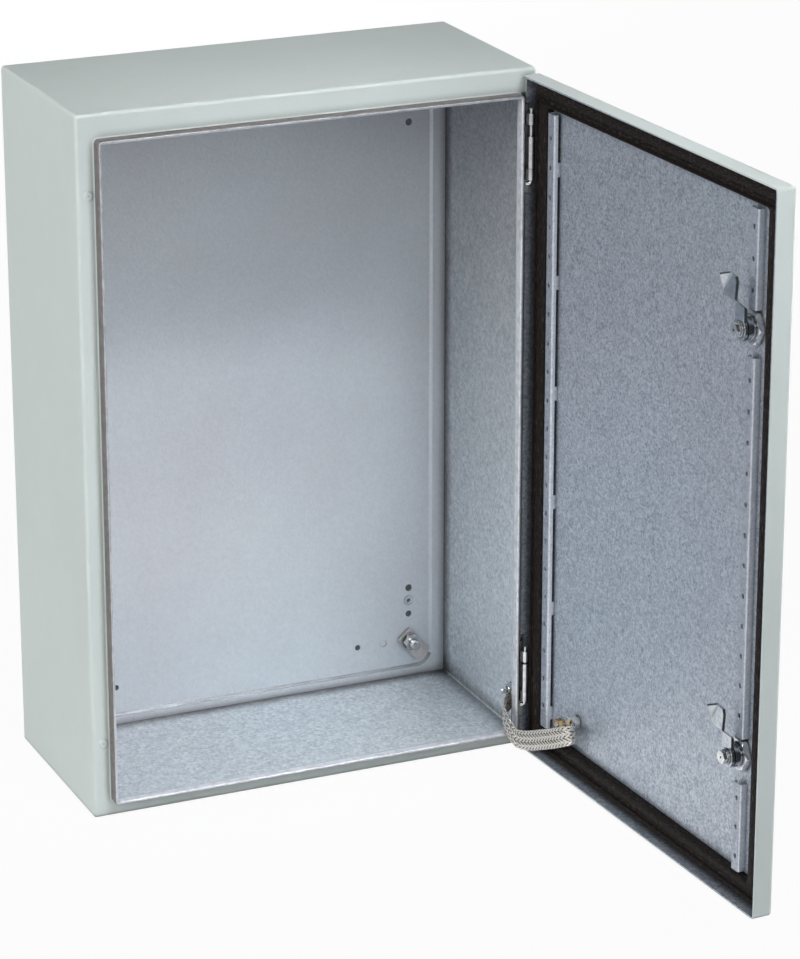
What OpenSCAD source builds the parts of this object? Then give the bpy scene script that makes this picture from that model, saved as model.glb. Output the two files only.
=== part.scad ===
// Wall-mounted steel enclosure with one hinged door, two quarter-turn locks and an earth braid.
// X runs to the right, Y runs back into the wall, Z runs up, in millimetres.
// The origin is on the wall, at the centre of the four wall fixing holes.

/* [Body] */
// Width over the side walls
body_w = 400; // [380:1:420]
// Height over the top and bottom
body_h = 600; // [580:1:620]
// Depth from the wall to the front flanges
body_d = 180; // [175:1:200]
// Thickness of the body and door sheet
sheet_t = 1.5; // [1.4:0.1:1.6]
// Outer radius of the folds
fold_r = 3; // [2.6:0.1:3.2]
// Width of the two front flanges at the sides
flange_side = 15; // [15:0.5:16]
// Width of the front flange at the top
flange_top = 20; // [19:0.5:21]
// Width of the front flange at the bottom
flange_bottom = 13; // [12:0.5:14]
// How far the rim stands out in front of the flanges
rim_out = 11; // [10.8:0.1:11]
// Depth of the folded-back hem along the rim
hem_h = 7; // [5:0.5:8]

/* [Back panel] */
// Width of the pressed field that bears on the wall
field_w = 374; // [370:1:376]
// Height of the pressed field
field_h = 583; // [570:1:585]
// Corner radius of the pressed field
field_r = 15; // [10:1:20]
// Depth of the pressing
field_rise = 2; // [1:0.5:3]
// Spacing of the wall fixing holes across
wall_fix_w = 330; // [320:1:340]
// Spacing of the wall fixing holes up and down
wall_fix_h = 430; // [420:1:440]
// Diameter of the wall fixing holes
wall_fix_d = 6.5; // [6:0.5:8]
// Spacing of the mounting plate holes across
plate_fix_w = 230; // [220:1:240]
// Spacing of the mounting plate holes up and down
plate_fix_h = 530; // [520:1:535]
// Diameter of the mounting plate holes
plate_fix_d = 5.2; // [4:0.1:6]

/* [Door] */
// Angle at which the door stands open
door_open = 93; // [90:1:96]
// Gap between the door's edge and the body's outline all round
door_inset = 4; // [4:0.5:6]
// Height of the door's outer face over the front flanges
door_out = 20; // [20:0.5:22]
// Gap between the door's return flanges and the front flanges
door_gap = 2.5; // [2.5:0.5:4]
// Thickness of the gasket
gasket_t = 7.9; // [7.5:0.1:7.9]

/* [Hinges] */
// Height of one body knuckle
knuckle_h = 9.4; // [9:0.1:9.8]
// Diameter of the hinge pin
pin_d = 3.5; // [3:0.1:3.6]

/* [Locks] */
// Height of the locks above and below the middle
lock_z = 175; // [160:1:190]
// Distance of the locks from the middle, towards the free edge
lock_x = 148; // [147:0.5:149]
// Length of a cam from the turning axis to its tip
cam_len = 45; // [43:0.5:46]
// Width across the flats of a lock nut
lock_nut_af = 25; // [24:1:30]

/* [Earthing] */
// Width of the woven braid
braid_w = 18; // [14:1:18]
// Thickness of the woven braid
braid_t = 2.5; // [2:0.1:3]
// Diameter of the earth stud in the corner of the back panel
corner_stud_d = 8; // [6:1:8]

/* [Hidden] */
$fn = 48;
rim_w = body_w - 2 * flange_side;
rim_h = body_h - flange_top - flange_bottom;
rim_mid = (flange_bottom - flange_top) / 2;
rim_r = 4;                            // outer corner radius of the rim
rim_fillet = 1.2;                     // fold between flange and rim
door_w = body_w - 2 * door_inset;
door_h = body_h - 2 * door_inset;
door_face = body_d + door_out;        // outer face of the door
skin_back = door_face - sheet_t;      // inner face of the door
door_back = body_d + door_gap;        // rear edge of the return flanges
hinge_x = 191;                        // turning axis of the door
hinge_y = -189.5;
knuckle_r = 3.2;
seat = 0.02;                          // clearance of parts that sit tight on each other
leaf_bore_r = pin_d / 2 + 0.05;
// Of each hinge: bottom and top of the bracket, bottom and top of the door knuckle, above the middle
hinge_upper = [208, 264, 217.8, 244.6];
hinge_lower = [-256.5, -210.5, -246.9, -222];
mark_x = -190.2;                      // pilot marks of a left-hand door
mark_z = 234;
notch_z = 234;                        // middle and height of the cut-outs in the door flange
notch_h = 76;
rail_t = 1.2;                         // stiffener sheet
rail_w = 11.5;
rail_top = skin_back - 6.2;           // face of the stiffeners
rail_pitch = 25;
rail_hole_r = 2;
insert_r = 6;
barrel_r = 10;
cam_back = 183.3;                     // rear face of a cam's base
cam_t = 2.5;
cam_drop = 6.8;                       // joggle of a cam towards the rear
braid_z = -260;                       // height of the body's braid stud
braid_stud_y = -154;
door_stud_x = 114;                    // door earth stud, door closed
door_stud_z = -248.5;
door_stud_end = 177.2;
door_lug_back = 183.2;
corner_stud = [165, -265];
// Middle of the braid, from the lug on the right wall to the lug on the door
braid_route = [
    [194.9, -168.8, -260], [194.9, -170.2, -260], [193.8, -171.8, -260.1], [191.2, -172.6, -260.4],
    [187.5, -172.9, -261.1], [183, -173.8, -262.5],
    [178.3, -177, -265], [174.8, -182.5, -268.5], [173.2, -189, -272.3], [173, -197, -277],
    [174.5, -209.5, -281.5], [177.5, -227, -277], [179.3, -246, -269], [180.3, -263, -261.5],
    [181.5, -276.5, -255], [183.2, -284, -251.5], [186.8, -287.8, -249.6], [190.6, -286, -248.6],
    [191.9, -283.2, -248.5], [191.83, -281.6, -248.5], [191.75, -280, -248.5]];

// Stands a front-view drawing up on the wall: drawn x, y and height become X, Z and distance from the wall
module upright() { rotate([90, 0, 0]) children(); }

// The same on the door, drawn shut and turned to its open place
module on_door() {
    translate([hinge_x, hinge_y, 0]) rotate([0, 0, door_open]) translate([-hinge_x, -hinge_y, 0])
        upright() children();
}

// Runs a profile (x outwards, y forwards) round a rectangle with round corners
module around(w, h, r) {
    for (side = [0, 180]) rotate([0, 0, side]) {
        translate([w / 2, 0, 0]) rotate([90, 0, 0]) linear_extrude(h - 2 * r, center = true) children();
        rotate([0, 0, 90]) translate([h / 2, 0, 0]) rotate([90, 0, 0])
            linear_extrude(w - 2 * r, center = true) children();
        translate([w / 2 - r, h / 2 - r, 0]) rotate_extrude(angle = 90) translate([r, 0]) children();
        translate([r - w / 2, h / 2 - r, 0]) rotate([0, 0, 90])
            rotate_extrude(angle = 90) translate([r, 0]) children();
    }
}

module round_rect(w, h, r) {
    square([w - 2 * r, h], center = true);
    square([w, h - 2 * r], center = true);
    for (x = [r - w / 2, w / 2 - r], y = [r - h / 2, h / 2 - r]) translate([x, y]) circle(r);
}

// Side wall that ends in a quarter fold at the front
module wall_profile(back, front) {
    translate([-sheet_t, back]) square([sheet_t, front - fold_r - back]);
    translate([-fold_r, front - fold_r]) intersection() {
        difference() { circle(fold_r); circle(fold_r - sheet_t); }
        square(fold_r);
    }
}

// Four walls and a front sheet, folded from one blank
module folded_tray(w, h, back, front) {
    around(w, h, fold_r) wall_profile(back, front);
    translate([0, 0, front - sheet_t]) linear_extrude(sheet_t)
        square([w - 2 * fold_r, h - 2 * fold_r], center = true);
}

// Turned-out rim: sheet, hem folded back inside it, round nose and the fold at its foot
module rim_profile() {
    translate([-sheet_t, -sheet_t]) square([sheet_t, rim_out]);
    translate([-2 * sheet_t, rim_out - hem_h]) square([sheet_t, hem_h - sheet_t]);
    translate([-sheet_t, rim_out - sheet_t]) intersection() {
        circle(sheet_t);
        translate([-sheet_t, 0]) square([2 * sheet_t, sheet_t]);
    }
    difference() {
        square(rim_fillet);
        translate([rim_fillet, rim_fillet]) circle(rim_fillet);
    }
}

module hex_prism(af, h) { cylinder(h = h, d = af / cos(30), $fn = 6); }

// Hexagon nut with chamfered corners
module nut(af, h, bore_r) {
    difference() {
        intersection() {
            hex_prism(af, h);
            cylinder(h = h, r1 = af * 0.52, r2 = af * 0.52 + h);
            translate([0, 0, h]) mirror([0, 0, 1]) cylinder(h = h, r1 = af * 0.52, r2 = af * 0.52 + h);
        }
        translate([0, 0, -1]) cylinder(h = h + 2, r = bore_r + seat);
    }
}

module washer(r, h, bore_r) {
    difference() {
        cylinder(h = h, r = r);
        translate([0, 0, -1]) cylinder(h = h + 2, r = bore_r);
    }
}

// Weld stud: round foot, shank and a chamfered end
module weld_stud(r, len, foot_r) {
    cylinder(h = 1, r = foot_r);
    cylinder(h = len - 1, r = r);
    translate([0, 0, len - 1]) cylinder(h = 1, r1 = r, r2 = r - 0.8);
}

// Crimped cable eye lying on its face: eye at the origin, barrel along +X
module braid_lug(eye_r, bore_r, barrel_x, barrel_len) {
    difference() {
        union() {
            cylinder(h = 2, r = eye_r);
            translate([0, -eye_r, 0]) cube([barrel_x + 1, 2 * eye_r, 2]);
            translate([barrel_x, 0, 2.3]) rotate([90, 0, 90]) linear_extrude(barrel_len)
                round_rect(braid_w + 3, 4.6, 1.4);
        }
        translate([0, 0, -1]) cylinder(h = 4, r = bore_r);
    }
}

// ---- Body ----

module body_shell() {
    color("honeydew") upright() {
        difference() {
            folded_tray(body_w, body_h, 0, body_d);
            translate([0, rim_mid, body_d - 2 * sheet_t]) linear_extrude(3 * sheet_t)
                round_rect(rim_w - 2 * sheet_t, rim_h - 2 * sheet_t, rim_r - sheet_t);
        }
        // pressed pilot marks for hanging the door on the other side
        for (z = [-mark_z, mark_z]) translate([mark_x, z, body_d]) difference() {
            cylinder(h = 0.9, r1 = 4.4, r2 = 3);
            translate([0, 0, 0.4]) cylinder(h = 0.6, r = 0.6);
        }
        translate([0, rim_mid, body_d]) around(rim_w, rim_h, rim_r) rim_profile();
    }
}

module back_panel() {
    ramp = 2.5;
    color("lightsteelblue") upright() difference() {
        union() {
            linear_extrude(sheet_t) round_rect(field_w - 2 * ramp, field_h - 2 * ramp, field_r - ramp);
            translate([0, 0, field_rise]) linear_extrude(sheet_t) difference() {
                round_rect(body_w - 2 * sheet_t, body_h - 2 * sheet_t, fold_r - sheet_t);
                round_rect(field_w, field_h, field_r);
            }
            around(field_w, field_h, field_r) polygon([
                [0, field_rise], [0, field_rise + sheet_t], [-ramp, sheet_t], [-ramp, 0]]);
        }
        for (x = [-wall_fix_w / 2, wall_fix_w / 2], z = [-wall_fix_h / 2, wall_fix_h / 2])
            translate([x, z, -1]) cylinder(h = 4, d = wall_fix_d);
        for (x = [-plate_fix_w / 2, plate_fix_w / 2], z = [-plate_fix_h / 2, plate_fix_h / 2])
            translate([x, z, -1]) cylinder(h = 4, d = plate_fix_d);
        translate([wall_fix_w / 2, -wall_fix_h / 2 - 12, -1]) cylinder(h = 4, r = 3.5);
        translate([wall_fix_w / 2, -wall_fix_h / 2 - 25, -1]) cylinder(h = 4, r = 3);
        translate([wall_fix_w / 2 - 25, -plate_fix_h / 2, sheet_t - 0.8]) cylinder(h = 2, r = 3.4);
    }
}

module rivet_nut() {
    color("silver") upright() translate([wall_fix_w / 2, -wall_fix_h / 2 - 12, 0]) difference() {
        union() {
            cylinder(h = sheet_t, r = 3.5);
            translate([0, 0, sheet_t]) cylinder(h = 0.8, r = 4.6);
        }
        translate([0, 0, -1]) cylinder(h = 4, r = 2);
    }
}

// Base plate on the flange, two webs and the two outer knuckles with their bore
module hinge_bracket(hinge) {
    low = hinge[0];
    high = hinge[1];
    plate_more = 16;                  // the plate goes on above the upper knuckle
    color("gainsboro") difference() {
        union() {
            upright() translate([186.3, low, body_d]) cube([7.2, high + plate_more - low, 1.6]);
            for (z = [low, high - knuckle_h]) translate([0, 0, z]) {
                translate([186.3, hinge_y, 0]) cube([1.6, -hinge_y - body_d, knuckle_h]);
                translate([hinge_x, hinge_y, 0]) cylinder(h = knuckle_h, r = knuckle_r);
            }
        }
        translate([hinge_x, hinge_y, low - 1]) cylinder(h = high - low + 2, d = pin_d + 2 * seat);
        upright() translate([189.9, high + plate_more / 2, body_d + 0.6]) cylinder(h = 2, r = 2);
    }
}

// Loose pin, dropped in from above, with a bent tail that keeps it from turning
module hinge_pin(hinge) {
    foot = hinge[0] - 1;
    head = hinge[1] + 4;
    bend = 2.4;
    color("silver") translate([hinge_x, hinge_y, 0]) {
        translate([0, 0, foot]) cylinder(h = head - foot, d = pin_d);
        translate([0, 0, head]) cylinder(h = 0.6, r1 = pin_d / 2, r2 = pin_d / 2 - 0.6);
        rotate([0, 0, 155]) translate([bend, 0, foot]) rotate([90, 0, 0])
            rotate([0, 0, 180]) rotate_extrude(angle = 90) translate([bend, 0]) circle(d = pin_d);
        rotate([0, 0, 155]) translate([bend, 0, foot - bend]) rotate([0, 90, 0])
            cylinder(h = 1.6, d = pin_d);
    }
}

module corner_earth_stud() {
    color("silver") upright() translate([corner_stud[0], corner_stud[1], sheet_t])
        weld_stud(corner_stud_d / 2, 19, 6.5);
}

module earth_tag() {
    color("darkgray") upright() translate([corner_stud[0], corner_stud[1], sheet_t + 1])
        rotate([0, 0, -50]) difference() {
            translate([-9, -7.5, 0]) cube([30, 15, 1.5]);
            translate([0, 0, -1]) cylinder(h = 4, r = corner_stud_d / 2 + 0.2);
        }
}

module corner_earth_washer() {
    color("silver") upright() translate([corner_stud[0], corner_stud[1], sheet_t + 2.5])
        washer(8, 1.6, corner_stud_d / 2 + 0.2);
}

module corner_earth_nut() {
    color("silver") upright() translate([corner_stud[0], corner_stud[1], sheet_t + 4.1])
        nut(13, 6.5, corner_stud_d / 2);
}

// Places a part on the right wall, its height pointing into the enclosure
module on_right_wall() {
    translate([body_w / 2 - sheet_t, braid_stud_y, braid_z]) rotate([0, -90, 0]) children();
}

module body_braid_stud() { color("silver") on_right_wall() weld_stud(3, 13.5, 5); }

module body_braid_lug() {
    color("silver") on_right_wall() translate([0, 0, 1]) rotate([0, 0, -90]) braid_lug(6.5, 3.1, 6.5, 8);
}

module body_braid_washer() { color("silver") on_right_wall() translate([0, 0, 3]) washer(5.5, 1.2, 3.1); }

module body_braid_nut() { color("silver") on_right_wall() translate([0, 0, 4.2]) nut(10, 4, 3); }

// Catmull-Rom point between b and c at t
function blend_point(a, b, c, d, t) =
    0.5 * (2 * b + (c - a) * t + (2 * a - 5 * b + 4 * c - d) * t * t + (3 * b - a - 3 * c + d) * t * t * t);

function smooth_route(p, steps) = [
    for (i = [0:len(p) - 2], s = [0:steps - 1])
        blend_point(p[max(i - 1, 0)], p[i], p[i + 1], p[min(i + 2, len(p) - 1)], s / steps),
    p[len(p) - 1]];

// Outline of the flat braid: [across its thickness, along its width]
braid_outline = [
    for (k = [[1, 0.55], [0.55, 1], [-0.55, 1], [-1, 0.55],
              [-1, -0.55], [-0.55, -1], [0.55, -1], [1, -0.55]])
        [k[0] * braid_t / 2, (abs(k[1]) < 1 ? sign(k[1]) * (braid_w / 2 - 0.6) : k[1] * braid_w / 2)]];

module earth_braid() {
    path = smooth_route(braid_route, 3);
    last = len(path) - 1;
    sides = len(braid_outline);
    points = [for (i = [0:last])
        let (t = path[min(i + 1, last)] - path[max(i - 1, 0)],
             along = t / norm(t),
             flat = cross(along, [0, 0, 1]),
             out = flat / norm(flat),
             up = cross(out, along))
        for (c = braid_outline) path[i] + out * c[0] + up * c[1]];
    faces = [
        for (i = [0:last - 1], j = [0:sides - 1])
            let (a = i * sides + j, b = i * sides + (j + 1) % sides)
            for (f = [[a, b, b + sides], [a, b + sides, a + sides]]) f,
        [for (j = [sides - 1:-1:0]) j],
        [for (j = [0:sides - 1]) last * sides + j]];
    color("wheat") polyhedron(points, faces, convexity = 8);
}

// ---- Door ----

module door_panel() {
    color("honeydew") on_door() difference() {
        folded_tray(door_w, door_h, door_back, door_face);
        // the flange on the hinge side is shorter, and notched at the hinges
        translate([door_w / 2 - fold_r, fold_r - door_h / 2, door_back - 1])
            cube([2 * fold_r, door_h - 2 * fold_r, 5]);
        for (z = [-notch_z, notch_z]) translate([door_w / 2 - fold_r, z - notch_h / 2, door_back])
            cube([2 * fold_r, notch_h, 190 - door_back]);
        for (z = [-lock_z, lock_z]) translate([-lock_x, z, skin_back - 1])
            cylinder(h = 4, r = barrel_r + seat);
    }
}

module door_gasket() {
    inner_mid = -0.75;
    groove_w = 4.8;
    color("#2a1e1e") on_door() difference() {
        translate([0, -1, skin_back - gasket_t]) linear_extrude(gasket_t) difference() {
            round_rect(374.6, door_h - 8, 5);
            translate([0, inner_mid + 1]) round_rect(339, 548.5, 3);
        }
        translate([0, rim_mid, skin_back - gasket_t]) linear_extrude(0.8) difference() {
            round_rect(rim_w - 2 * sheet_t + groove_w, rim_h - 2 * sheet_t + groove_w, rim_r + 1);
            round_rect(rim_w - 2 * sheet_t - groove_w, rim_h - 2 * sheet_t - groove_w, 1.5);
        }
    }
}

// Middle knuckle and the leaf welded inside the door flange
module door_hinge_leaf(hinge) {
    low = hinge[2];
    leaf_h = hinge[3] - low;
    color("gainsboro") on_door() difference() {
        union() {
            translate([hinge_x, low, -hinge_y]) rotate([-90, 0, 0]) cylinder(h = leaf_h, r = knuckle_r);
            translate([192.6, low, -hinge_y]) cube([door_w / 2 - sheet_t - 192.6, leaf_h, 7.5]);
        }
        translate([hinge_x, low - 1, -hinge_y]) rotate([-90, 0, 0])
            cylinder(h = leaf_h + 2, r = leaf_bore_r);
    }
}

// Top-hat stiffener from z0 to z1: closed leg at x = 0, short leg with weld tabs at x = rail_w
module rail(z0, z1) {
    depth = skin_back - rail_top;
    count = floor((z1 - z0 - 16) / rail_pitch);
    tab_pitch = 96;
    first = (z0 + z1 - count * rail_pitch) / 2;
    difference() {
        translate([0, z1, 0]) rotate([90, 0, 0]) linear_extrude(z1 - z0) {
            translate([rail_t + 0.8, rail_top]) square([rail_w - 2 * rail_t - 1.6, rail_t]);
            for (m = [0, 1]) translate([m * rail_w, 0]) mirror([m, 0]) {
                translate([0, rail_top + rail_t + 0.8]) square([rail_t, depth - rail_t - 0.8 - 2.4 * m]);
                translate([rail_t + 0.8, rail_top + rail_t + 0.8]) intersection() {
                    difference() { circle(rail_t + 0.8); circle(0.8); }
                    translate([-5, -5]) square(5);
                }
            }
        }
        for (i = [0:count]) translate([rail_w - 6, first + i * rail_pitch, rail_top - 1])
            cylinder(h = 4, r = rail_hole_r);
    }
    for (z = [z0 + 8 : tab_pitch : z1 - 16])
        translate([rail_w - rail_t, z, skin_back - 3]) cube([rail_t, 12, 3]);
}

module hinge_side_rail() {
    color("lightgray") on_door() translate([169, 0, 0]) mirror([1, 0, 0]) rail(-271, 269);
}

module lock_side_rail(z0, z1) { color("lightgray") on_door() translate([-156, 0, 0]) rail(z0, z1); }

// Collar outside, threaded barrel through the door sheet
module lock_housing(z) {
    color("silver") on_door() translate([-lock_x, z, 0]) difference() {
        union() {
            translate([0, 0, door_face]) cylinder(h = 2, r = 13);
            translate([0, 0, door_face + 2]) cylinder(h = 1, r1 = 13, r2 = 12);
            translate([0, 0, 186.4]) cylinder(h = door_face - 186.4, r = barrel_r);
        }
        translate([0, 0, 180]) cylinder(h = 30, r = insert_r + 0.05);
    }
}

module lock_nut(z) {
    color("silver") on_door() translate([-lock_x, z, skin_back - 6]) nut(lock_nut_af, 6, barrel_r);
}

// Turning insert with a double-bit key recess
module lock_insert(z) {
    key_r = 4.4;
    color("darkgray") on_door() translate([-lock_x, z, 0]) {
        difference() {
            translate([0, 0, cam_back + cam_t])
                cylinder(h = door_face + 2.6 - cam_back - cam_t, r = insert_r);
            translate([0, 0, door_face - 6]) cylinder(h = 10, r = key_r);
        }
        translate([0, 0, door_face - 6]) {
            cylinder(h = 7.6, r = 1.9);
            translate([-key_r + 0.6, -1.1, 0]) cube([2 * key_r - 1.2, 2.2, 7.6]);
        }
    }
}

// Cam tongue: base on the insert, joggle to the rear, wide tip with one corner folded to the rear
module lock_cam(z) {
    base_r = 9;
    step0 = 17;
    step1 = 25;
    tip = cam_back - cam_drop - cam_t;
    crease = [[8.6, 30], [0.5, cam_len]];
    slope = atan2(crease[0][1] - crease[1][1], crease[0][0] - crease[1][0]);
    crease_len = norm(crease[0] - crease[1]);
    color("silver") on_door() translate([-lock_x, z, 0]) difference() {
        union() {
            intersection() {
                translate([0, 0, tip - 5]) linear_extrude(20) {
                    circle(base_r);
                    translate([-6.5, 0]) square([13, cam_len - 8]);
                    polygon([[-6.5, step1 - 4], [6.5, step1 - 4], crease[0], crease[1], [-7, cam_len - 1],
                        [-8.6, cam_len - 5]]);
                }
                translate([15, 0, 0]) rotate([90, 0, -90]) linear_extrude(30) polygon([
                    [base_r + 1, cam_back], [base_r + 1, cam_back + cam_t], [-step0, cam_back + cam_t],
                    [-step1, tip + cam_t], [-cam_len - 1, tip + cam_t], [-cam_len - 1, tip],
                    [-step1 - 1.4, tip], [-step0 - 1.4, cam_back]]);
            }
            translate([crease[1][0], crease[1][1], tip]) rotate([0, 0, slope]) rotate([-60, 0, 0])
                linear_extrude(cam_t - 0.4)
                    polygon([[0, -1.2], [crease_len, -1.2], [crease_len, 0], [3.6, 7.1], [0, 0]]);
        }
        translate([0, 0, cam_back - 1]) cylinder(h = 5, r = 3 + seat);
    }
}

module cam_washer(z) {
    color("silver") on_door() translate([-lock_x, z, cam_back - 1.2]) washer(6.5, 1.2, 3.1);
}

module cam_screw(z) {
    color("silver") on_door() translate([-lock_x, z, cam_back - 5.3]) {
        nut(10, 4.1, 1);
        translate([0, 0, 1]) cylinder(h = 3.1, r = 2);
        translate([0, 0, 4.1]) cylinder(h = 3.7, r = 3);
    }
}

// Places a part on the inside of the door, its height pointing into the enclosure
module on_door_stud() {
    on_door() translate([door_stud_x, door_stud_z, skin_back]) rotate([0, 180, 0]) children();
}

// Stud with a hexagon spacer that lifts the lug clear of the stiffener
module door_earth_stud() {
    color("silver") on_door_stud() {
        weld_stud(3, skin_back - door_stud_end, 6);
        hex_prism(10, skin_back - door_lug_back - 2);
    }
}

module door_braid_lug() {
    color("silver") on_door_stud() translate([0, 0, skin_back - door_lug_back])
        mirror([0, 0, 1]) braid_lug(6.5, 3.1, 6.5, 6.5);
}

module door_earth_washer() {
    color("silver") on_door_stud() translate([0, 0, skin_back - door_lug_back]) washer(6, 1.2, 3.1);
}

module door_earth_nut() {
    color("goldenrod") on_door_stud() translate([0, 0, skin_back - door_lug_back + 1.2]) nut(10, 4, 3);
}

body_shell();
back_panel();
rivet_nut();
hinge_bracket(hinge_upper);  // hinge_bracket_upper
hinge_bracket(hinge_lower);  // hinge_bracket_lower
hinge_pin(hinge_upper);  // hinge_pin_upper
hinge_pin(hinge_lower);  // hinge_pin_lower
corner_earth_stud();
earth_tag();
corner_earth_washer();
corner_earth_nut();
body_braid_stud();
body_braid_lug();
body_braid_washer();
body_braid_nut();
earth_braid();
door_panel();
door_gasket();
door_hinge_leaf(hinge_upper);  // door_hinge_leaf_upper
door_hinge_leaf(hinge_lower);  // door_hinge_leaf_lower
hinge_side_rail();
lock_side_rail(190, 269);  // lock_side_rail_upper
lock_side_rail(-160, 152);  // lock_side_rail_middle
lock_side_rail(-274, -199);  // lock_side_rail_lower
lock_housing(lock_z);  // lock_housing_upper
lock_housing(-lock_z);  // lock_housing_lower
lock_nut(lock_z);  // lock_nut_upper
lock_nut(-lock_z);  // lock_nut_lower
door_earth_stud();
door_braid_lug();
door_earth_washer();
door_earth_nut();
lock_insert(lock_z);  // lock_insert_upper
lock_cam(lock_z);  // lock_cam_upper
cam_washer(lock_z);  // cam_washer_upper
cam_screw(lock_z);  // cam_screw_upper
lock_insert(-lock_z);  // lock_insert_lower
lock_cam(-lock_z);  // lock_cam_lower
cam_washer(-lock_z);  // cam_washer_lower
cam_screw(-lock_z);  // cam_screw_lower
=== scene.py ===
import bpy
import math
import numpy as np
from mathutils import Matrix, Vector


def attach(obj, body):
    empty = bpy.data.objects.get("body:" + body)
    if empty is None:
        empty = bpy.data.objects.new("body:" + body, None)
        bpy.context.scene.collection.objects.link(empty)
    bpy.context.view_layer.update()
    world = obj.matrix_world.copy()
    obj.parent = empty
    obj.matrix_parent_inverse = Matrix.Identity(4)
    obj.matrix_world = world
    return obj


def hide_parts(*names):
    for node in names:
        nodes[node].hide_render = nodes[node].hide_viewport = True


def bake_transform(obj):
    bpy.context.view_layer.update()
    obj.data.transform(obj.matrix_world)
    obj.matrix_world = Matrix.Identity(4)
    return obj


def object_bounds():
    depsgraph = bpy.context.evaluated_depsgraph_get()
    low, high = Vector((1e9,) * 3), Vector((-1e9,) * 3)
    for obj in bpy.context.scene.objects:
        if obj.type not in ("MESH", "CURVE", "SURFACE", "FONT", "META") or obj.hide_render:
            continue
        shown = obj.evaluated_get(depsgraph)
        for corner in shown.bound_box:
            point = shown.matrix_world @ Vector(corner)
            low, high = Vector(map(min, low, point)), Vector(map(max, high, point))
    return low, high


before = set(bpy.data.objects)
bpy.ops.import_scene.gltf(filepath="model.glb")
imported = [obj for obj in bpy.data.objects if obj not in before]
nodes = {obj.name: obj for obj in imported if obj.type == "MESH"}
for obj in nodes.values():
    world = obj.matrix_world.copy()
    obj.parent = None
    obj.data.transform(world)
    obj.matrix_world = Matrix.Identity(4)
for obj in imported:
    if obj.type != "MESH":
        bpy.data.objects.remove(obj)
cadBox = [list(corner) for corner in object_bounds()]
scene = bpy.context.scene
scene.view_settings.view_transform = "Standard"
mm = 0.001
print("frame loaded,", len(nodes), "nodes")

viewpoint = {
    "place": (-1.169, -2.997, 1.059),
    "azimuth": 23.87,     # looks this far to the right of straight back, degrees
    "elevation": 19.65,   # looks this far down
    "lens": 147.0,
}

lighting = {
    "skyTop": 0.9,     # the zenith's tone is reached at this height of the sky's ball
    "aim": (0.05, -0.25, 0.0),
    "sky": {"horizon": 0.88, "zenith": 0.16, "below": 0.40, "colour": (0.93, 0.96, 1.0, 1)},
    "gloss": {"horizon": 1.05, "zenith": 0.34, "dark": 0.04, "patches": 1.9, "edge": (0.47, 0.52),
              "colour": (1, 1, 1, 1)},
    "key": {"place": (-3.8, -1.25, 1.7), "size": 1.8, "power": 77, "colour": (1.0, 0.985, 0.96)},
    "front": {"place": (-0.7, -4.2, 1.9), "size": 2.4, "power": 30, "colour": (0.98, 0.99, 1.0)},
    "side": {"place": (3.2, -0.7, 0.05), "size": 0.6, "power": 52, "colour": (0.98, 0.99, 1.0)},
    "rear": {"place": (1.0, 3.2, 0.03), "size": 0.5, "power": 40, "colour": (0.98, 0.99, 1.0)},
    # narrow beam from above into the enclosure: it meets the bottom and the lower back
    "snoot": {"place": (0.22, -1.45, 1.75), "size": 0.45, "power": 0.74, "colour": (0.97, 0.985, 1.0),
              "target": (-0.06, -0.06, -0.27), "spread": 24},
}


def makeCamera(v):
    data = bpy.data.cameras.new("camera")
    data.lens = v["lens"]
    data.sensor_width = 36
    data.clip_start = 0.05
    camera = bpy.data.objects.new("camera", data)
    camera.location = v["place"]
    camera.rotation_euler = (math.radians(90 - v["elevation"]), 0, math.radians(-v["azimuth"]))
    scene.collection.objects.link(camera)
    scene.camera = camera


def makeLamp(name, lamp):
    data = bpy.data.lights.new(name, "AREA")
    data.shape = "DISK"
    data.size = lamp["size"]
    data.energy = lamp["power"]
    data.color = lamp["colour"]
    data.spread = math.radians(lamp.get("spread", 180))
    light = bpy.data.objects.new(name, data)
    light.location = lamp["place"]
    away = np.array(lamp["place"]) - np.array(lamp.get("target", lighting["aim"]))
    flat = math.hypot(away[0], away[1])
    light.rotation_euler = (math.atan2(flat, away[2]), 0, math.atan2(away[0], -away[1]))
    scene.collection.objects.link(light)


def mathNode(tree, operation, first, second):
    node = tree.nodes.new("ShaderNodeMath")
    node.operation = operation
    for socket, value in zip(node.inputs, (first, second)):
        if isinstance(value, (int, float)):
            socket.default_value = value
        else:
            tree.links.new(value, socket)
    return node.outputs[0]


def mapNode(tree, value, fromRange, toRange):
    node = tree.nodes.new("ShaderNodeMapRange")
    node.inputs["From Min"].default_value, node.inputs["From Max"].default_value = fromRange
    node.inputs["To Min"].default_value, node.inputs["To Max"].default_value = toRange
    tree.links.new(value, node.inputs["Value"])
    return node.outputs[0]


def rayKinds(tree):
    # camera rays, and camera rays together with those from a mirror or a glass
    path = tree.nodes.new("ShaderNodeLightPath")
    camera = path.outputs["Is Camera Ray"]
    gloss = mathNode(tree, "MAXIMUM", path.outputs["Is Glossy Ray"], path.outputs["Is Transmission Ray"])
    return camera, mathNode(tree, "MAXIMUM", camera, gloss)


def mixShaders(tree, share, first, second, outputKind="ShaderNodeOutputMaterial"):
    mix = tree.nodes.new("ShaderNodeMixShader")
    for source, socket in zip((share, first, second), mix.inputs):
        tree.links.new(source, socket)
    out = tree.nodes.new(outputKind)
    tree.links.new(mix.outputs[0], out.inputs["Surface"])


def emptyMaterial(name):
    material = bpy.data.materials.new(name)
    material.use_nodes = True
    material.node_tree.nodes.clear()
    return material, material.node_tree


def flatBoard(name, corners, material):
    mesh = bpy.data.meshes.new(name)
    mesh.from_pydata(corners, [], [(0, 1, 2, 3)])
    mesh.materials.append(material)
    board = bpy.data.objects.new(name, mesh)
    scene.collection.objects.link(board)


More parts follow.
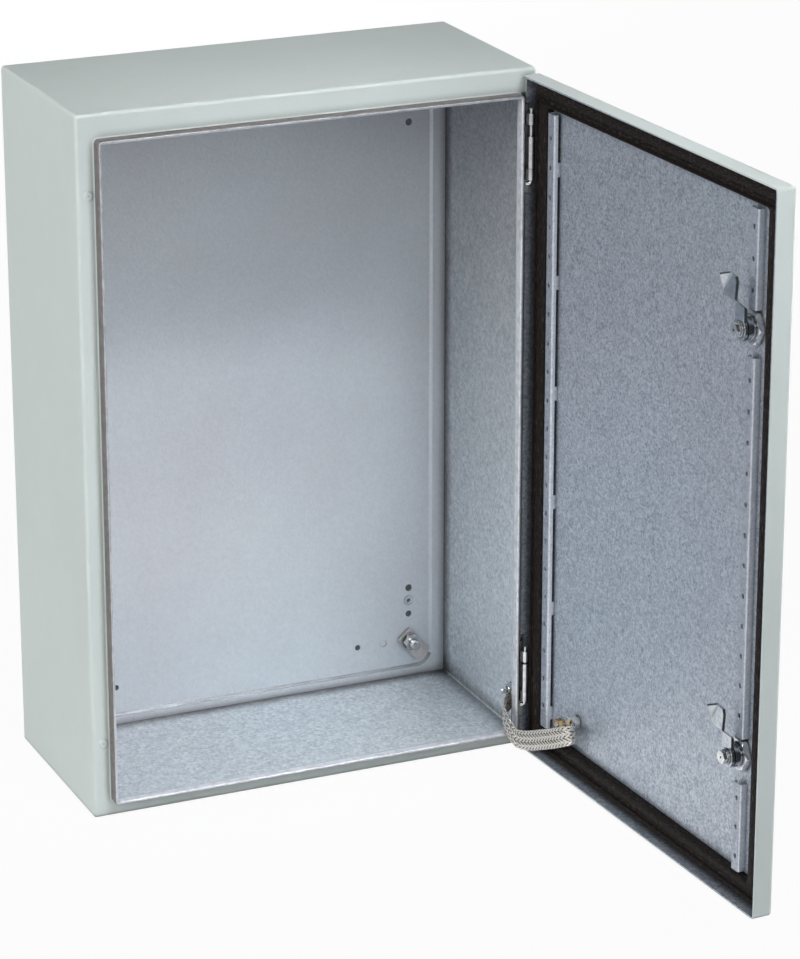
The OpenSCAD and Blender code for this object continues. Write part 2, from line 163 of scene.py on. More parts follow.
def makeWorld(sky, gloss, top):
    # white for the camera; mirrors see it too, greyer overhead; the soft light falls off upwards
    world = bpy.data.worlds.new("studio")
    world.use_nodes = True
    tree = world.node_tree
    tree.nodes.clear()
    coordinates = tree.nodes.new("ShaderNodeTexCoord")
    split = tree.nodes.new("ShaderNodeSeparateXYZ")
    tree.links.new(coordinates.outputs["Generated"], split.inputs[0])
    height = split.outputs["Z"]
    camera, seen = rayKinds(tree)
    above = mapNode(tree, height, (0.0, top), (sky["horizon"], sky["zenith"]))
    isBelow = mathNode(tree, "LESS_THAN", height, 0.0)
    soft = mathNode(tree, "ADD", above, mathNode(tree, "MULTIPLY", isBelow, sky["below"] - sky["horizon"]))
    # mirrors also see a few dark screens round the studio
    screens = tree.nodes.new("ShaderNodeTexNoise")
    screens.inputs["Scale"].default_value = gloss["patches"]
    screens.inputs["Detail"].default_value = 0.0
    tree.links.new(coordinates.outputs["Generated"], screens.inputs["Vector"])
    screened = mapNode(tree, screens.outputs["Fac"], gloss["edge"], (gloss["dark"], 1.0))
    mirrored = mapNode(tree, height, (0.0, top), (gloss["horizon"], gloss["zenith"]))
    shown = mathNode(tree, "MAXIMUM", camera, mathNode(tree, "MULTIPLY", mirrored, screened))
    backgrounds = []
    for colour, strength in ((sky["colour"], soft), (gloss["colour"], shown)):
        background = tree.nodes.new("ShaderNodeBackground")
        background.inputs["Color"].default_value = colour
        tree.links.new(strength, background.inputs["Strength"])
        backgrounds.append(background.outputs[0])
    mixShaders(tree, seen, *backgrounds, "ShaderNodeOutputWorld")
    scene.world = world


floorLook = {
    "reach": 6.0,
    "drop": 0.0005,                     # this far under the lowest point of the part
    "colour": (0.50, 0.51, 0.52, 1),
    "share": 0.955,                     # how much of it glows for the camera and for mirrors
    "distance": (0.5, 2.4),             # metres over which mirrors see it turn greyer
    "tone": (0.95, 0.5),
}


def makeFloor(look, height):
    material, tree = emptyMaterial("paleFloor")
    matt = tree.nodes.new("ShaderNodeBsdfDiffuse")
    matt.inputs["Color"].default_value = look["colour"]
    coordinates = tree.nodes.new("ShaderNodeTexCoord")
    far = tree.nodes.new("ShaderNodeVectorMath")
    far.operation = "LENGTH"
    tree.links.new(coordinates.outputs["Object"], far.inputs[0])
    camera, seen = rayKinds(tree)
    # in a mirror the floor gets greyer away from the object
    glow = tree.nodes.new("ShaderNodeEmission")
    fading = mapNode(tree, far.outputs["Value"], look["distance"], look["tone"])
    tree.links.new(mathNode(tree, "MAXIMUM", camera, fading), glow.inputs["Strength"])
    mixShaders(tree, mathNode(tree, "MULTIPLY", seen, look["share"]), matt.outputs[0], glow.outputs[0])
    r = look["reach"]
    flatBoard("floor", [(-r, -r, height), (r, -r, height), (r, r, height), (-r, r, height)], material)


# painted shade behind the holes in the back
holeShadeBoard = {"halfWidth": 0.19, "halfHeight": 0.29, "behind": 0.004, "colour": (0.13, 0.14, 0.155, 1)}


def makeHoleShadeBoard(board):
    # painted shade: a dark board just behind the back that only camera rays see, so that the holes look dark
    # from the front;
    # light and every view from behind go through it
    material, tree = emptyMaterial("darkBoard")
    dark = tree.nodes.new("ShaderNodeBsdfDiffuse")
    dark.inputs["Color"].default_value = board["colour"]
    clear = tree.nodes.new("ShaderNodeBsdfTransparent")
    geometry = tree.nodes.new("ShaderNodeNewGeometry")
    camera = tree.nodes.new("ShaderNodeLightPath").outputs["Is Camera Ray"]
    otherRay = mathNode(tree, "SUBTRACT", 1.0, camera)
    unseen = mathNode(tree, "MAXIMUM", geometry.outputs["Backfacing"], otherRay)
    mixShaders(tree, unseen, dark.outputs[0], clear.outputs[0])
    w, h, y = board["halfWidth"], board["halfHeight"], board["behind"]
    flatBoard("holeShadeBoard", [(-w, y, -h), (w, y, -h), (w, y, h), (-w, y, h)], material)


makeCamera(viewpoint)
for lampName in ("key", "front", "side", "rear", "snoot"):
    makeLamp(lampName, lighting[lampName])
makeWorld(lighting["sky"], lighting["gloss"], lighting["skyTop"])
makeFloor(floorLook, cadBox[0][2] - floorLook["drop"])
makeHoleShadeBoard(holeShadeBoard)
print("camera and light")


class Finish:
    # a material with a Principled shader and short names for its nodes

    def __init__(self, name, colour, metallic=0.0, roughness=0.5, specular=0.5):
        self.material = bpy.data.materials.new(name)
        self.material.use_nodes = True
        self.tree = self.material.node_tree
        self.shader = self.tree.nodes["Principled BSDF"]
        self.shader.inputs["Base Color"].default_value = (*colour, 1)
        self.shader.inputs["Metallic"].default_value = metallic
        self.shader.inputs["Roughness"].default_value = roughness
        self.shader.inputs["Specular IOR Level"].default_value = specular
        self.coordinates = self.tree.nodes.new("ShaderNodeTexCoord")

    def link(self, source, target):
        self.tree.links.new(source, target)

    def place(self, stretch=(1, 1, 1), source="Object"):
        mapping = self.tree.nodes.new("ShaderNodeMapping")
        mapping.inputs["Scale"].default_value = stretch
        self.link(self.coordinates.outputs[source], mapping.inputs["Vector"])
        return mapping.outputs[0]

    def noise(self, scale, detail=4.0, rough=0.6, stretch=(1, 1, 1), source="Object"):
        node = self.tree.nodes.new("ShaderNodeTexNoise")
        node.inputs["Scale"].default_value = scale
        node.inputs["Detail"].default_value = detail
        node.inputs["Roughness"].default_value = rough
        self.link(self.place(stretch, source), node.inputs["Vector"])
        return node.outputs["Fac"]

    def cells(self, scale):
        node = self.tree.nodes.new("ShaderNodeTexVoronoi")
        node.inputs["Scale"].default_value = scale
        self.link(self.place(), node.inputs["Vector"])
        grey = self.tree.nodes.new("ShaderNodeSeparateColor")
        self.link(node.outputs["Color"], grey.inputs[0])
        return grey.outputs[0]

    def spread(self, value, low, high, fromLow=0.3, fromHigh=0.7):
        return mapNode(self.tree, value, (fromLow, fromHigh), (low, high))

    def combine(self, first, second, operation="ADD"):
        return mathNode(self.tree, operation, first, second)

    def ramp(self, value, stops):
        node = self.tree.nodes.new("ShaderNodeValToRGB")
        elements = node.color_ramp.elements
        while len(elements) < len(stops):
            elements.new(0.5)
        for element, (position, colour) in zip(elements, stops):
            element.position = position
            element.color = (*colour, 1)
        self.link(value, node.inputs[0])
        return node.outputs[0]

    def mixColour(self, share, first, second, how="MIX"):
        node = self.tree.nodes.new("ShaderNodeMix")
        node.data_type = "RGBA"
        node.blend_type = how
        if isinstance(share, (int, float)):
            node.inputs[0].default_value = share
        else:
            self.link(share, node.inputs[0])
        for socket, value in ((node.inputs[6], first), (node.inputs[7], second)):
            if isinstance(value, tuple):
                socket.default_value = (*value, 1)
            else:
                self.link(value, socket)
        return node.outputs[2]

    def nookDustAndShade(self, value, reach, dark):
        # painted shade, with some dust: the colour gets darker where other surfaces are near
        node = self.tree.nodes.new("ShaderNodeAmbientOcclusion")
        node.samples = 8
        node.inputs["Distance"].default_value = reach
        shade = self.ramp(node.outputs["AO"], [(0.42, (dark, dark, dark)), (0.86, (1, 1, 1))])
        return self.mixColour(1.0, value, shade, "MULTIPLY")

    def colour(self, value):
        self.link(value, self.shader.inputs["Base Color"])

    def rough(self, value):
        self.link(value, self.shader.inputs["Roughness"])

    def bump(self, value, height, strength):
        node = self.tree.nodes.new("ShaderNodeBump")
        node.inputs["Distance"].default_value = height
        node.inputs["Strength"].default_value = strength
        self.link(value, node.inputs["Height"])
        self.link(node.outputs[0], self.shader.inputs["Normal"])


paintTone = {"dark": (0.60, 0.66, 0.635), "light": (0.625, 0.685, 0.66)}


def paintFinish():
    # baked powder coat: fine orange peel, faint tone changes, and painted shade where other surfaces are
    # near
    f = Finish("paint", paintTone["dark"], 0.0, 0.45, 0.35)
    tone = f.noise(9, 3, 0.5)
    even = f.ramp(tone, [(0.3, paintTone["dark"]), (0.7, paintTone["light"])])
    f.colour(f.nookDustAndShade(even, 0.010, 0.5))
    f.rough(f.spread(f.noise(60, 3), 0.41, 0.5))
    f.bump(f.noise(700, 2, 0.4), 0.00012, 0.35)
    return f.material


zincSheets = {
    # bright colour, contrast and size (per metre) of the grain, strength of the clouds (partly painted
    # shade), painted shade at the top, how far painted shade reaches out of a corner and how dark it gets
    # there, and painted shade near the back
    "back": {"name": "zincBack", "light": (0.80, 0.855, 0.90), "contrast": 0.16, "grain": 420,
             "cloudsAndShade": 0.55, "paintedTopShade": 0.20, "corner": (0.010, 0.5), "backShade": 0.0},
    "walls": {"name": "zincWalls", "light": (0.92, 0.98, 1.0), "contrast": 0.75, "grain": 380,
              "cloudsAndShade": 0.45, "paintedTopShade": 0.62, "corner": (0.024, 0.22), "backShade": 1.0},
    "door": {"name": "zincDoor", "light": (0.74, 0.80, 0.87), "contrast": 1.05, "grain": 460,
             "cloudsAndShade": 0.40, "paintedTopShade": 0.26, "corner": (0.012, 0.35), "backShade": 0.0},
    "rail": {"name": "zincRail", "light": (0.58, 0.62, 0.69), "contrast": 0.8, "grain": 480,
             "cloudsAndShade": 0.15, "paintedTopShade": 0.10, "corner": (0.004, 0.3), "backShade": 0.0},
    # painted light: a lighter copy of the rail's zinc for its faces that look across the door
    "railSideLit": {"name": "zincRailSideLit", "light": (0.88, 0.92, 0.98), "contrast": 0.5, "grain": 480,
                 "cloudsAndShade": 0.15, "paintedTopShade": 0.10, "corner": (0.004, 0.5), "backShade": 0.0},
    # painted shade: a dark copy of the back's zinc for the ledges and ramps of the pressed field
    "step": {"name": "zincStepShade", "light": (0.27, 0.285, 0.30), "contrast": 0.3, "grain": 420,
             "cloudsAndShade": 0.3, "paintedTopShade": 0.0, "corner": (0.004, 0.5), "backShade": 0.0},
}

zincTone = {
    "grainDrop": (0.66, 0.62, 0.56),    # how far each colour falls in the dark of the grain
    # cloudy patches: partly the zinc's own mottling, partly painted shade
    "cloudsAndShade": (0.86, 0.78, 0.78),
    # painted shade tones: towards the top, and near the back
    "topShadeColour": (0.30, 0.27, 0.28),
    "backShade": (0.42, 0.38, 0.40),
    "topShadeHeights": (-0.22, 0.28),       # metres up, from no painted shade to full painted shade
    "backShadeDepths": (-0.012, 0.003),     # metres back, from no painted shade to full painted shade
}


def zincFinish(sheet):
    # zinc coat: fine crystals, slow cloudy patches that are partly painted shade, and painted shade that
    # makes the tone darker and warmer towards the top
    f = Finish(sheet["name"], sheet["light"], 0.45, 0.40, 0.5)
    flakes = f.combine(f.cells(0.55 * sheet["grain"]), 0.12, "MULTIPLY")
    crystals = f.combine(f.noise(sheet["grain"], 4, 0.65), flakes)
    grain = f.spread(crystals, 0.0, 1.0, 0.34, 0.80)
    low = tuple(a * (1 - b * sheet["contrast"]) for a, b in zip(sheet["light"], zincTone["grainDrop"]))
    tone = f.ramp(grain, [(0.0, low), (1.0, sheet["light"])])
    # cloudy patches: partly the zinc's own mottling, partly painted shade
    cloudsShadeMask = f.spread(f.noise(4.5, 3, 0.5), 0.0, sheet["cloudsAndShade"], 0.40, 0.72)
    cloudsShaded = f.mixColour(cloudsShadeMask, tone, zincTone["cloudsAndShade"], "MULTIPLY")
    split = f.tree.nodes.new("ShaderNodeSeparateXYZ")
    f.link(f.coordinates.outputs["Object"], split.inputs[0])
    # painted shade: darker and warmer towards the top
    height = f.spread(split.outputs["Z"], 0.0, sheet["paintedTopShade"], *zincTone["topShadeHeights"])
    topShaded = f.mixColour(height, cloudsShaded, zincTone["topShadeColour"], "MULTIPLY")
    # painted shade: the sheets get darker near the back, with a noisy edge
    behind = f.combine(split.outputs["Y"], f.combine(f.noise(38, 3), 0.016, "MULTIPLY"))
    backShade = f.spread(behind, 0.0, sheet["backShade"], *zincTone["backShadeDepths"])
    stained = f.mixColour(backShade, topShaded, zincTone["backShade"], "MULTIPLY")
    f.colour(f.nookDustAndShade(stained, *sheet["corner"]))
    f.rough(f.spread(crystals, 0.50, 0.32))
    f.bump(grain, 0.0002, 0.6)
    return f.material


def platedFinish(name, colour, roughness, metallic=0.92, nookShade=0.10):
    # bright zinc plating with uneven gloss, faint stains, and painted shade in nooks
    f = Finish(name, colour, metallic, roughness, 0.5)
    f.rough(f.spread(f.noise(240, 3), roughness - 0.05, roughness + 0.08))
    darker = tuple(0.78 * c for c in colour)
    stained = f.ramp(f.noise(150, 3, 0.6), [(0.36, darker), (0.58, colour)])
    f.colour(f.nookDustAndShade(stained, 0.005, nookShade))
    f.bump(f.noise(900, 2), 0.00004, 0.25)
    return f.material


foamStreaks = {"across": 1.6, "along": 0.16}     # per millimetre of the seal's own map


def foamFinish():
    # skinned polyurethane foam: nearly black brown, drawn out in fine streaks along the seal
    f = Finish("gasketFoam", (0.010, 0.006, 0.006), 0.0, 0.7, 0.20)
    streaks = f.noise(1.0, 3.0, 0.5, (foamStreaks["across"], foamStreaks["along"], 1), "UV")
    pores = f.noise(620, 4, 0.72)
    both = f.combine(f.combine(streaks, 0.7, "MULTIPLY"), f.combine(pores, 0.3, "MULTIPLY"))
    brown = f.ramp(both, [(0.44, (0.003, 0.002, 0.002)), (0.56, (0.016, 0.010, 0.009)),
                          (0.68, (0.10, 0.072, 0.064))])
    # painted shade where other surfaces are near
    f.colour(f.nookDustAndShade(brown, 0.004, 0.15))
    f.rough(f.spread(both, 0.8, 0.5))
    f.bump(both, 0.0006, 0.8)
    return f.material


def braidFinish():
    # tinned copper wire: fine lines along each strand, and painted shade where a strand dives
    f = Finish("tinnedWire", (0.78, 0.74, 0.68), 0.85, 0.32, 0.5)
    wires = f.tree.nodes.new("ShaderNodeTexWave")
    wires.inputs["Scale"].default_value = 1.6
    wires.inputs["Distortion"].default_value = 0.4
    f.link(f.place((1, 0.15, 1), "UV"), wires.inputs["Vector"])
    tinned = f.ramp(wires.outputs["Fac"], [(0.05, (0.46, 0.42, 0.37)), (0.40, (0.88, 0.84, 0.78)),
                                           (0.95, (0.96, 0.94, 0.90))])
    f.colour(f.nookDustAndShade(tinned, 0.0016, 0.05))
    f.bump(wires.outputs["Fac"], 0.00012, 0.7)
    return f.material


paint = paintFinish()
zinc = {name: zincFinish(sheet) for name, sheet in zincSheets.items()}
# painted light and shade: three copies of the rim's bare metal, dark for faces looking outwards, lighter for
# the front edge, lightest for faces looking inwards
rimOuterShaded = platedFinish("rimOuterShaded", (0.24, 0.22, 0.215), 0.55, 0.4, 0.6)
rimCrestLit = platedFinish("rimCrestLit", (0.62, 0.64, 0.67), 0.38, 0.6, 0.8)
rimInnerLit = platedFinish("rimInnerLit", (0.86, 0.87, 0.92), 0.42, 0.5, 0.5)
bright = platedFinish("brightZinc", (0.86, 0.87, 0.89), 0.15)
castZinc = platedFinish("castZinc", (0.58, 0.63, 0.68), 0.14)
greyTag = platedFinish("tagZinc", (0.74, 0.69, 0.69), 0.45, 0.4, 0.2)
brassNut = platedFinish("brassYellow", (0.46, 0.33, 0.16), 0.34)
foam = foamFinish()
wire = braidFinish()
# painted shadow: a dark core inside the braid, seen in the gaps between the strands
braidShadowCore = Finish("paintedShadowCore", (0.02, 0.016, 0.014), 0.0, 0.8, 0.2).material
print("materials")

hinge = {"x": 191.0, "y": -189.5, "open": math.radians(93)}    # millimetres, at rest
bodySize = {"halfWidth": 200.0, "halfHeight": 300.0, "front": 180.0, "fold": 3.0}
rimSize = {"halfWidth": 184.25, "halfHeight": 282.75, "middle": -3.5}
doorSize = {"halfWidth": 196.0, "halfHeight": 296.0, "front": 200.0, "fold": 3.0}
paintSkin = 0.8      # faces this close to the outside are painted
rimFoot = 1.4        # the rim starts this far in front of the body's front
rimSlots = {"outer": 2, "crest": 3, "inner": 4}


def shutToOpen(points):
    # turns points (mm, door shut) about the hinge axis to the open door, and into metres
    c, s = math.cos(hinge["open"]), math.sin(hinge["open"])
    x = points[..., 0] - hinge["x"]
    y = points[..., 1] - hinge["y"]
    turned = np.stack([hinge["x"] + x * c - y * s, hinge["y"] + x * s + y * c, points[..., 2]], -1)
    return turned * mm


def openToShut(points):
    # the way back: metres at rest to millimetres with the door shut
    c, s = math.cos(-hinge["open"]), math.sin(-hinge["open"])
    x = points[:, 0] / mm - hinge["x"]
    y = points[:, 1] / mm - hinge["y"]
    return np.stack([hinge["x"] + x * c - y * s, hinge["y"] + x * s + y * c, points[:, 2] / mm], -1)


def faceCentres(obj):
    centres = np.empty(len(obj.data.polygons) * 3, np.float32)
    obj.data.polygons.foreach_get("center", centres)
    return centres.reshape(-1, 3).astype(float)


def faceNormals(obj):
    normals = np.empty(len(obj.data.polygons) * 3, np.float32)
    obj.data.polygons.foreach_get("normal", normals)
    return normals.reshape(-1, 3).astype(float)


def paintOutside(obj, centres, size, inside):
    # painted faces lie further from the fold's centre line than the middle of the sheet
    over = np.stack([np.abs(centres[:, 0]) - (size["halfWidth"] - size["fold"]),
                     -centres[:, 1] - (size["front"] - size["fold"]),
                     np.abs(centres[:, 2]) - (size["halfHeight"] - size["fold"])], -1)
    reach = np.linalg.norm(np.clip(over, 0, None), axis=1)
    painted = (reach > size["fold"] - paintSkin) & (-centres[:, 1] < size["front"] + rimFoot)
    obj.data.materials.clear()
    obj.data.materials.append(paint)
    obj.data.materials.append(inside)
    return np.where(painted, 0, 1).astype(np.int32)


def dress(names, material):
    for name in names:
        nodes[name].data.materials.clear()
        nodes[name].data.materials.append(material)


def dressShell():
    shell = nodes["body_shell"]
    centres = faceCentres(shell) / mm
    index = paintOutside(shell, centres, bodySize, zinc["walls"])
    for material in (rimOuterShaded, rimCrestLit, rimInnerLit):
        shell.data.materials.append(material)
    # painted light and shade on the rim: a dark outer face, a bright front edge and a bright inner face,
    # told apart by their normals
    normals = faceNormals(shell)
    side = np.abs(centres[:, 0]) - rimSize["halfWidth"] > np.abs(centres[:, 2] - rimSize["middle"]) \
        - rimSize["halfHeight"]
    outward = np.where(side, normals[:, 0] * np.sign(centres[:, 0]), normals[:, 2] * np.sign(centres[:, 2]))
    rim = np.where(outward > 0.5, rimSlots["outer"],
                   np.where(outward < -0.5, rimSlots["inner"], rimSlots["crest"]))
    index = np.where(-centres[:, 1] >= bodySize["front"] + rimFoot, rim, index).astype(np.int32)
    shell.data.polygons.foreach_set("material_index", index)


def dressDoor():
    door = nodes["door_panel"]
    index = paintOutside(door, openToShut(faceCentres(door)), doorSize, zinc["door"])
    door.data.polygons.foreach_set("material_index", index)


def dressTwo(name, first, second, direction, limit):
    # the second material goes on faces that look along the direction, either way
    obj = nodes[name]
    dress([name], first)
    obj.data.materials.append(second)
    share = np.abs(faceNormals(obj) @ np.array(direction))
    obj.data.polygons.foreach_set("material_index", (share > limit).astype(np.int32))


def paintBehind(name):
    # faces that look to the wall are painted, those of the pressed field too
    obj = nodes[name]
    index = np.empty(len(obj.data.polygons), np.int32)
    obj.data.polygons.foreach_get("material_index", index)
    behind = (faceNormals(obj)[:, 1] > 0.4) & (faceCentres(obj)[:, 1] > -0.004)
    slots = list(obj.data.materials)
    if paint not in slots:
        obj.data.materials.append(paint)
        slots.append(paint)
    index[behind] = slots.index(paint)
    obj.data.polygons.foreach_set("material_index", index)


dressShell()
dressDoor()
# painted shade: the back panel's faces that look up or down get the dark copy of its zinc
dressTwo("back_panel", zinc["back"], zinc["step"], (0, 0, 1), 0.2)
paintBehind("back_panel")
paintBehind("body_shell")
acrossDoor = (math.cos(hinge["open"]), math.sin(hinge["open"]), 0)
# painted light: the rails' faces that look across the door get the lighter copy of their zinc
for railName in ("hinge_side_rail", "lock_side_rail_upper", "lock_side_rail_middle", "lock_side_rail_lower"):
    dressTwo(railName, zinc["rail"], zinc["railSideLit"], acrossDoor, 0.5)
dress([n for n in nodes if n.startswith(("hinge_bracket", "hinge_pin", "door_hinge_leaf", "lock_nut",
                                         "cam_screw", "cam_washer"))], bright)
dress(["corner_earth_stud", "corner_earth_nut", "corner_earth_washer", "rivet_nut", "body_braid_stud",
       "body_braid_washer", "body_braid_nut", "body_braid_lug", "door_earth_stud", "door_earth_washer",
       "door_braid_lug"], bright)
dress([n for n in nodes if n.startswith(("lock_housing", "lock_insert", "lock_cam"))], castZinc)
dress(["earth_tag"], greyTag)
dress(["door_earth_nut"], brassNut)
print("carried-over parts finished")


def gridMesh(name, grid, material, closedRows=False, closedCols=False, caps=False, uv=None):
    # a grid of points (rows, columns, xyz) becomes quads; closed directions join last to first
    rows, cols = grid.shape[:2]
    i, j = np.meshgrid(np.arange(rows if closedRows else rows - 1),
                       np.arange(cols if closedCols else cols - 1), indexing="ij")
    nextI, nextJ = (i + 1) % rows, (j + 1) % cols
    quads = np.stack([i * cols + j, nextI * cols + j, nextI * cols + nextJ, i * cols + nextJ], -1)
    quads = quads.reshape(-1, 4)
    points = grid.reshape(-1, 3)
    a, b, c, d = (points[quads[:, k]] for k in range(4))
    volume = (np.cross(a, b) * c).sum() + (np.cross(a, c) * d).sum()
    faces = quads.tolist()
    if caps:
        faces += [list(range(cols - 1, -1, -1)), list(range((rows - 1) * cols, rows * cols))]
    if volume < 0:
        faces = [face[::-1] for face in faces]
    mesh = bpy.data.meshes.new(name)
    mesh.from_pydata(points.tolist(), [], faces)
    mesh.polygons.foreach_set("use_smooth", np.ones(len(faces), bool))
    mesh.materials.append(material)
    if uv is not None:
        layer = mesh.uv_layers.new(name="UVMap")
        corners = np.empty(len(mesh.loops), np.int32)
        mesh.loops.foreach_get("vertex_index", corners)
        layer.data.foreach_set("uv", uv.reshape(-1, 2)[corners].astype(np.float32).ravel())
    obj = bpy.data.objects.new(name, mesh)
    scene.collection.objects.link(obj)
    return obj


gasket = {
    "outer": (374.6, 584.0, -1.0, 5.0),        # width, height, middle, corner radius
    "inner": (339.0, 548.5, -0.75, 3.0),
    "rimLine": (367.0, 564.0, -3.5, 3.0),
    "grooveWidth": 4.6,
    "base": 198.4,
    "top": 190.75,
    "grooveDepth": 3.2,
    "lobePoints": 11,
    "fullness": 0.55,                          # power of the lobe's sine: less is rounder
    "ripples": ((0.10, 23, 1.1), (0.07, 61, 0.0), (0.05, 137, 0.4)),    # height, waves, phase
    "rippleDepth": 1.5,                        # ripples only this far above the base
    "mapAcross": 40,
}


def roundedLoop(width, height, middle, radius, perSide=90, perCorner=8):
    # points round a rectangle with round corners, the same count for every size
    corners = []
    for k, (sx, sz) in enumerate(((1, 1), (-1, 1), (-1, -1), (1, -1))):
        angle = np.radians(90 * k) + np.linspace(0, math.pi / 2, perCorner)
        corners.append(np.stack([sx * (width / 2 - radius) + radius * np.cos(angle),
                                 middle + sz * (height / 2 - radius) + radius * np.sin(angle)], -1))
    loop = []
    for k in range(4):
        share = np.linspace(0, 1, perSide + 2)[1:-1, None]
        loop.append(corners[k])
        loop.append(corners[k][-1] * (1 - share) + corners[(k + 1) % 4][0] * share)
    return np.concatenate(loop)


def makeGasket(g):
    # a foam ring: its section is two round lobes with the rim's print between them
    w, h, middle, r = g["rimLine"]
    groove = g["grooveWidth"]
    outer, inner = roundedLoop(*g["outer"]), roundedLoop(*g["inner"])
    grooveOut = roundedLoop(w + groove, h + groove, middle, r + groove / 2)
    grooveIn = roundedLoop(w - groove, h - groove, middle, 1.0)
    lobe = np.linspace(0, math.pi, g["lobePoints"])
    tall = g["base"] - g["top"]
    rings, heights = [outer], [g["base"]]
    for start, end in ((outer, grooveOut), (grooveIn, inner)):
        for angle in lobe:
            share = (1 - math.cos(angle)) / 2
            rings.append(start * (1 - share) + end * share)
            # low at the free edge, less so beside the groove
            swell = math.sin(angle) ** g["fullness"] if math.sin(angle) > 1e-6 else 0.0
            besideGroove = share if start is outer else 1 - share
            ground = g["base"] - (tall - g["grooveDepth"]) * besideGroove ** 0.5
            heights.append(ground - (tall - (g["base"] - ground)) * swell)
    rings.append(inner)
    heights.append(g["base"])
    flat = np.array(rings)
    along = np.linspace(0, 2 * math.pi, flat.shape[1], endpoint=False)
    wave = sum(height * np.sin(waves * along + phase) for height, waves, phase in g["ripples"])
    raised = (np.array(heights)[:, None] < g["base"] - g["rippleDepth"]) * np.abs(wave)[None, :]
    depth = np.array(heights)[:, None] + raised
    grid = np.stack([flat[..., 0], -depth, flat[..., 1]], -1)
    # the map runs across the section (rows) and round the ring (columns), in millimetres
    ringLength = 2 * (g["outer"][0] + g["outer"][1])
    across = np.linspace(0, g["mapAcross"], flat.shape[0])
    around = np.linspace(0, ringLength, flat.shape[1], endpoint=False)
    uv = np.stack(np.meshgrid(across, around, indexing="ij"), -1)
    return gridMesh("door_seal", shutToOpen(grid), foam, closedCols=True, closedRows=True, uv=uv)


seal = makeGasket(gasket)
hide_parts("door_gasket")
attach(seal, "door")

braid = {
    "width": 17.6,
    "thickness": 2.5,
    "strands": 10,          # carriers each way
    "rows": 5,              # rows of floats across the width
    "strandWidth": 2.25,
    "strandThickness": 0.8,
    "weave": 0.52,
    "crossLength": 26.0,    # length of braid in which a strand crosses from edge to edge
    "stagger": 0.5,         # the strands of the other way start this much later
    "edgeRamp": 12,         # how quickly a strand rises from the edge
    "snap": 2.0,            # how quickly it goes from over to under
    "edgeWidth": 0.55,      # its width at the edge, as a share
    "sides": 8,
    "step": 0.6,
    "coreWidth": 0.97,      # shares of the width and the thickness
    "coreThickness": 0.14,
    "mapLength": 4.0,       # millimetres of strand in one unit of its map
}
braidRoute = [
    (194.9, -168.8, -260), (194.9, -170.2, -260), (193.8, -171.8, -260.1), (191.2, -172.6, -260.4),
    (187.5, -172.9, -261.1), (183, -173.8, -262.5), (178.3, -177, -265), (174.8, -182.5, -268.5),
    (173.2, -189, -272.3), (173, -197, -277), (174.5, -209.5, -281.5), (177.5, -227, -277),
    (179.3, -246, -269), (180.3, -263, -261.5), (181.5, -276.5, -255), (183.2, -284, -251.5),
    (186.8, -287.8, -249.6), (190.6, -286, -248.6), (191.9, -283.2, -248.5), (191.83, -281.6, -248.5),
    (191.75, -280, -248.5)]


def smoothRoute(points, step):
    # Catmull-Rom curve through the points, then even steps along its length
    p = np.array(points, float)
    padded = np.vstack([p[:1], p, p[-1:]])
    t = np.linspace(0, 1, 24, endpoint=False)[:, None]
    pieces = []
    for k in range(len(p) - 1):
        a, b, c, d = padded[k:k + 4]
        pieces.append(0.5 * (2 * b + (c - a) * t + (2 * a - 5 * b + 4 * c - d) * t ** 2
                             + (3 * b - a - 3 * c + d) * t ** 3))
    curve = np.vstack(pieces + [p[-1:]])
    length = np.concatenate([[0], np.cumsum(np.linalg.norm(np.diff(curve, axis=0), axis=1))])
    even = np.linspace(0, length[-1], int(length[-1] / step) + 1)
    return np.stack([np.interp(even, length, curve[:, k]) for k in range(3)], -1), even


def routeFrame(curve):
    # unit vectors along the route: out of the flat face, and up along the width
    along = np.gradient(curve, axis=0)
    along /= np.linalg.norm(along, axis=1, keepdims=True)
    out = np.cross(along, [0, 0, 1.0])
    out /= np.linalg.norm(out, axis=1, keepdims=True)
    return out, np.cross(out, along)


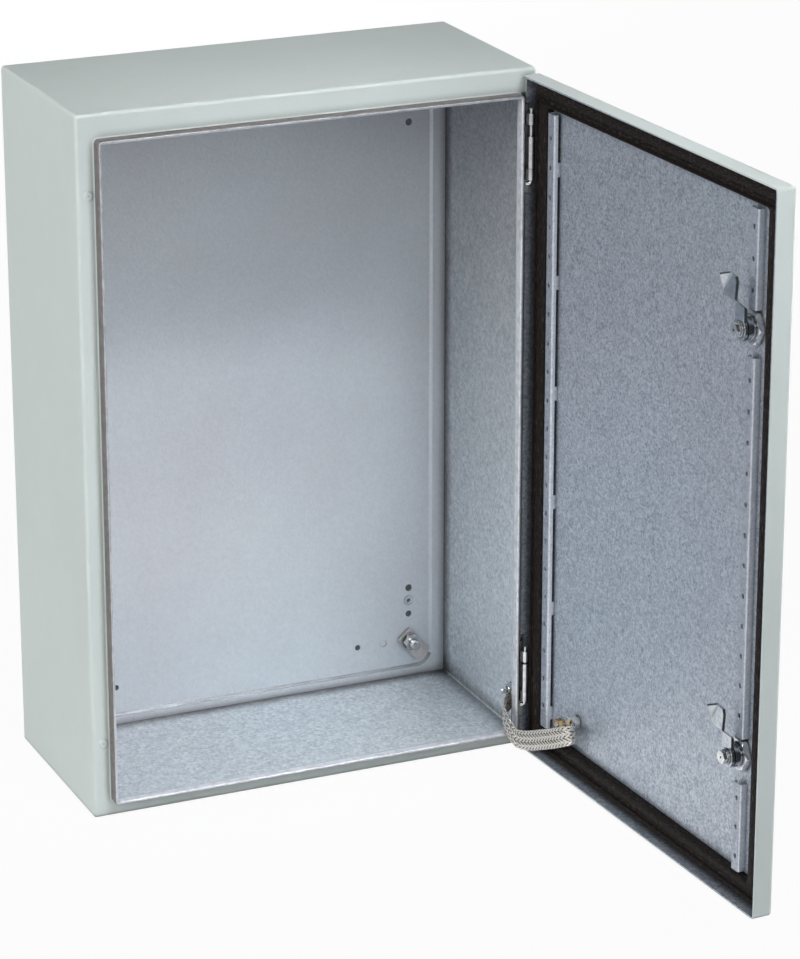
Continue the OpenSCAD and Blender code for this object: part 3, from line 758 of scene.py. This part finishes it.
def makeBraid(b):
    # each strand zigzags from edge to edge, on one face and back on the other; across a face it
    # comes up in every second row, so that the rows lean to and fro
    curve, s = smoothRoute(braidRoute, b["step"])
    out, up = routeFrame(curve)
    ring = np.linspace(0, 2 * math.pi, b["sides"], endpoint=False)
    halfWidth = b["width"] / 2 - b["strandThickness"] / 2
    middleLift = b["thickness"] / 2 - b["strandThickness"] / 2 - b["weave"]
    around = np.linspace(0, 1, b["sides"])
    uv = np.stack(np.meshgrid(s / b["mapLength"], around, indexing="ij"), -1)[..., ::-1]
    pieces = []
    for way in (1, -1):
        for k in range(b["strands"]):
            late = b["stagger"] if way < 0 else 0.0
            phase = way * s / b["crossLength"] + (2.0 * k + late) / b["strands"]
            turn = np.mod(phase, 2.0)
            across = np.where(turn < 1, turn, 2 - turn)
            face = np.where(turn < 1, 1.0, -1.0)
            inner = np.clip(np.minimum(across, 1 - across) * b["edgeRamp"], 0, 1)
            over = np.tanh(b["snap"] * np.sin(math.pi * across * b["rows"])) * way * face
            lift = face * inner * middleLift + face * over * b["weave"] * inner
            centre = curve + up * ((across * 2 - 1) * halfWidth)[:, None] + out * lift[:, None]
            forward = np.gradient(centre, axis=0)
            side = np.cross(out, forward)
            side /= np.linalg.norm(side, axis=1, keepdims=True)
            wide = b["strandWidth"] / 2 * (b["edgeWidth"] + (1 - b["edgeWidth"]) * inner)
            flat = np.cos(ring)[None, :] * wide[:, None]
            tall = np.sin(ring) * b["strandThickness"] / 2
            tube = (centre[:, None, :] + side[:, None, :] * flat[..., None]
                    + out[:, None, :] * tall[None, :, None])
            reach = ((tube - curve[:, None, :]) * up[:, None, :]).sum(-1, keepdims=True)
            tube -= up[:, None, :] * (reach - np.clip(reach, -b["width"] / 2, b["width"] / 2))
            pieces.append(gridMesh("strand", tube * mm, wire, closedCols=True, caps=True, uv=uv))
    # painted shadow: a dark core inside the braid, seen in the gaps between the strands
    core = np.stack([np.cos(ring) * halfWidth * b["coreWidth"],
                     np.sin(ring) * b["thickness"] * b["coreThickness"]], -1)
    solid = curve[:, None, :] + up[:, None, :] * core[None, :, :1] + out[:, None, :] * core[None, :, 1:]
    pieces.append(gridMesh("core", solid * mm, braidShadowCore, closedCols=True, caps=True, uv=uv))
    return joined("woven_braid", pieces)


def joined(name, pieces):
    bpy.ops.object.select_all(action="DESELECT")
    for piece in pieces:
        piece.select_set(True)
    bpy.context.view_layer.objects.active = pieces[0]
    bpy.ops.object.join()
    whole = bpy.context.view_layer.objects.active
    whole.name = name
    whole.data.name = name
    return whole


woven = makeBraid(braid)
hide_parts("earth_braid")
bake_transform(woven)
print("gasket and braid")
